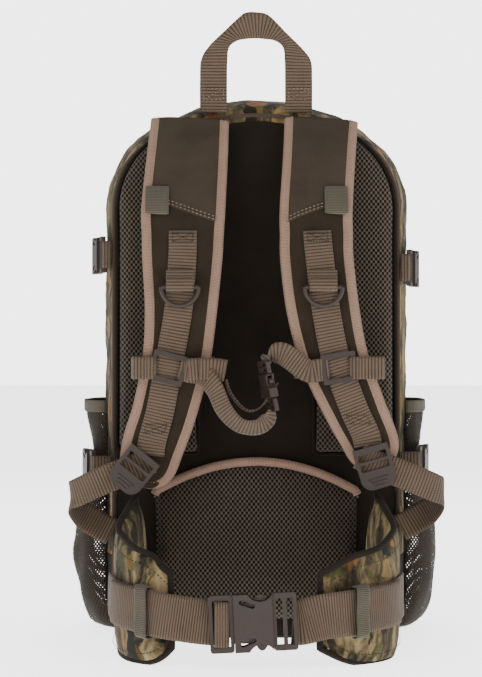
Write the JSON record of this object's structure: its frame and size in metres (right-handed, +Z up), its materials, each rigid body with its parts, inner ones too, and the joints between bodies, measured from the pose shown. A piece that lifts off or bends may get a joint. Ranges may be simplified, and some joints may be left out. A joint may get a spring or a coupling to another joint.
{
  "type": "hunting backpack",
  "caption": "Hunting backpack with a fold-down front panel, mesh-padded back, curved shoulder straps, sternum strap, padded hip belt and side-release buckles.",
  "frame": {"origin": "centre of the flat base, on the surface the pack stands on", "axes": "+Z up the pack, -Y towards the wearer's back (the harness side), +X to the right when the harness side is viewed"},
  "size_m": [0.348, 0.3756, 0.573],
  "materials": {
    "pack_cloth": "camouflage print",
    "harness_cloth": "woven twill",
    "spacer_mesh": "large-hole spacer mesh over foam",
    "net_mesh": "open stretch net",
    "webbing": "woven webbing",
    "elastic": "ribbed elastic",
    "zip_chain": "coil zip on tape",
    "zip_metal": "dark enamel",
    "buckle_plastic": "moulded, fine texture",
    "ring_plastic": "moulded, glossy",
    "stiffener": "plain sheet"
  },
  "bodies": {
    "bag": {"base_boot": "pack_cloth", "main_gusset": "pack_cloth", "back_board": "harness_cloth", "frame_sheet": "stiffener", "main_zip_rear": "zip_chain", "back_pad_left": "spacer_mesh", "back_pad_right": "spacer_mesh", "lumbar_pad": "spacer_mesh", "side_pocket_left": "net_mesh", "side_pocket_right": "net_mesh", "shoulder_strap_left": "harness_cloth", "shoulder_strap_right": "harness_cloth", "strap_webbing_left": "webbing", "strap_webbing_right": "webbing", "accessory_tabs": "elastic", "d_ring_loops": "webbing", "lower_webbing_left": "webbing", "lower_webbing_right": "webbing", "compression_sockets": "buckle_plastic", "compression_webbing_left": "webbing", "compression_webbing_right": "webbing"},
    "lid": {"front_panel": "pack_cloth", "main_zip_front": "zip_chain", "front_pocket": "pack_cloth", "upper_pocket": "pack_cloth", "pocket_zip": "zip_chain"},
    "handle": {"haul_handle": "webbing"},
    "pocket_slider": {"pocket_slider": "zip_metal"},
    "pocket_pull": {"pocket_pull": "zip_metal"},
    "sternum_strap": {"sternum_adjuster_left": "buckle_plastic", "sternum_adjuster_right": "buckle_plastic", "sternum_wrap_left": "webbing", "sternum_wrap_right": "webbing", "sternum_socket": "buckle_plastic", "sternum_webbing_left": "webbing", "sternum_webbing_right": "webbing"},
    "sternum_plug": {"sternum_plug": "buckle_plastic"},
    "wing_left": {"hip_wing_left": "pack_cloth", "belt_webbing_left": "webbing", "belt_keeper_left": "elastic"},
    "wing_right": {"hip_wing_right": "pack_cloth", "belt_webbing_right": "webbing", "belt_keeper_right": "elastic", "waist_socket": "buckle_plastic"},
    "waist_plug": {"waist_plug": "buckle_plastic", "belt_loop_left": "webbing"},
    "waist_button_upper": {"waist_button_upper": "buckle_plastic"},
    "waist_button_lower": {"waist_button_lower": "buckle_plastic"},
    "zip_slider_left": {"zip_slider_left": "zip_metal"},
    "zip_pull_left": {"zip_pull_left": "zip_metal"},
    "d_ring_left": {"d_ring_left": "ring_plastic"},
    "ladder_lock_left": {"ladder_lock_left": "buckle_plastic"},
    "compression_plug_upper_left": {"compression_plug_upper_left": "buckle_plastic"},
    "compression_plug_lower_left": {"compression_plug_lower_left": "buckle_plastic"},
    "zip_slider_right": {"zip_slider_right": "zip_metal"},
    "zip_pull_right": {"zip_pull_right": "zip_metal"},
    "d_ring_right": {"d_ring_right": "ring_plastic"},
    "ladder_lock_right": {"ladder_lock_right": "buckle_plastic"},
    "compression_plug_upper_right": {"compression_plug_upper_right": "buckle_plastic"},
    "compression_plug_lower_right": {"compression_plug_lower_right": "buckle_plastic"}
  },
  "joints": [
    {"name": "lid_hinge", "type": "hinge", "parent": "bag", "child": "lid", "pos_m": [0, 0.07, 0.0754], "axis": [-1, 0, 0], "range_deg": [0, 95]},
    {"name": "handle_swing", "type": "hinge", "parent": "bag", "child": "handle", "pos_m": [0, -0.1018, 0.48], "axis": [1, 0, 0], "range_deg": [0, 80]},
    {"name": "pocket_zip_travel", "type": "slide", "parent": "lid", "child": "pocket_slider", "axis": [1, 0, 0], "range_m": [0, 0.138]},
    {"name": "pocket_pull_swing", "type": "hinge", "parent": "pocket_slider", "child": "pocket_pull", "pos_m": [-0.0692, 0.1034, 0.2672], "axis": [1, 0, 0], "range_deg": [0, 150]},
    {"name": "sternum_height", "type": "slide", "parent": "bag", "child": "sternum_strap", "axis": [0, 0, 1], "range_m": [-0.01, 0.01]},
    {"name": "sternum_release", "type": "slide", "parent": "sternum_strap", "child": "sternum_plug", "axis": [0.2, 0, -0.9798], "range_m": [0, 0.024], "deforming": ["sternum_plug", "sternum_webbing_left"]},
    {"name": "wing_right_swing", "type": "hinge", "parent": "bag", "child": "wing_right", "pos_m": [0.104, -0.1085, 0.07], "axis": [0, 0, 1], "range_deg": [0, 40]},
    {"name": "wing_left_swing", "type": "hinge", "parent": "bag", "child": "wing_left", "pos_m": [-0.104, -0.1085, 0.07], "axis": [0, 0, 1], "range_deg": [-40, 0]},
    {"name": "waist_release", "type": "slide", "parent": "wing_left", "child": "waist_plug", "axis": [-0.9988, 0, -0.0499], "range_m": [0, 0.034], "deforming": ["waist_button_upper", "waist_button_lower"]},
    {"name": "waist_button_upper_press", "type": "hinge", "parent": "waist_plug", "child": "waist_button_upper", "pos_m": [-0.0191, -0.266, 0.0529], "axis": [0, 1, 0], "range_deg": [0, 8], "stiffness_Nm_per_rad": 0.02},
    {"name": "waist_button_lower_press", "type": "hinge", "parent": "waist_plug", "child": "waist_button_lower", "pos_m": [-0.0176, -0.266, 0.0233], "axis": [0, -1, 0], "range_deg": [0, 8], "stiffness_Nm_per_rad": 0.02},
    {"name": "zip_left_travel", "type": "hinge", "parent": "bag", "child": "zip_slider_left", "pos_m": [0, 0.035, 0.31], "axis": [0, -1, 0], "range_deg": [0, 25]},
    {"name": "zip_right_travel", "type": "hinge", "parent": "bag", "child": "zip_slider_right", "pos_m": [0, 0.035, 0.31], "axis": [0, 1, 0], "range_deg": [0, 25]},
    {"name": "zip_pull_left_swing", "type": "hinge", "parent": "zip_slider_left", "child": "zip_pull_left", "pos_m": [-0.0073, 0.035, 0.50407], "axis": [0, 1, 0], "range_deg": [0, 90]},
    {"name": "zip_pull_right_swing", "type": "hinge", "parent": "zip_slider_right", "child": "zip_pull_right", "pos_m": [0.0073, 0.035, 0.50407], "axis": [0, -1, 0], "range_deg": [0, 90]},
    {"name": "d_ring_left_swing", "type": "hinge", "parent": "bag", "child": "d_ring_left", "pos_m": [-0.06777, -0.1641, 0.31925], "axis": [-1, 0, 0], "range_deg": [0, 125]},
    {"name": "d_ring_right_swing", "type": "hinge", "parent": "bag", "child": "d_ring_right", "pos_m": [0.0591, -0.1641, 0.31925], "axis": [-1, 0, 0], "range_deg": [0, 125]},
    {"name": "ladder_lock_left_tilt", "type": "hinge", "parent": "bag", "child": "ladder_lock_left", "pos_m": [-0.09903, -0.1561, 0.1698], "axis": [-0.7772, 0, 0.6292], "range_deg": [0, 35]},
    {"name": "ladder_lock_right_tilt", "type": "hinge", "parent": "bag", "child": "ladder_lock_right", "pos_m": [0.1007, -0.1561, 0.1763], "axis": [-0.9611, 0, -0.276], "range_deg": [0, 35]},
    {"name": "compression_release_upper_left", "type": "slide", "parent": "bag", "child": "compression_plug_upper_left", "axis": [-0.2402, 0.9707, 0], "range_m": [0, 0.024], "deforming": ["compression_plug_upper_left", "compression_webbing_left"]},
    {"name": "compression_release_upper_right", "type": "slide", "parent": "bag", "child": "compression_plug_upper_right", "axis": [0.2402, 0.9707, 0], "range_m": [0, 0.024], "deforming": ["compression_plug_upper_right", "compression_webbing_right"]},
    {"name": "compression_release_lower_left", "type": "slide", "parent": "bag", "child": "compression_plug_lower_left", "axis": [-0.2402, 0.9707, 0], "range_m": [0, 0.024], "deforming": ["compression_plug_lower_left", "compression_webbing_left"]},
    {"name": "compression_release_lower_right", "type": "slide", "parent": "bag", "child": "compression_plug_lower_right", "axis": [0.2402, 0.9707, 0], "range_m": [0, 0.024], "deforming": ["compression_plug_lower_right", "compression_webbing_right"]}
  ],
  "couplings": [
    {"joint": "wing_left_swing", "follows": "wing_right_swing", "ratio": -1}
  ]
}
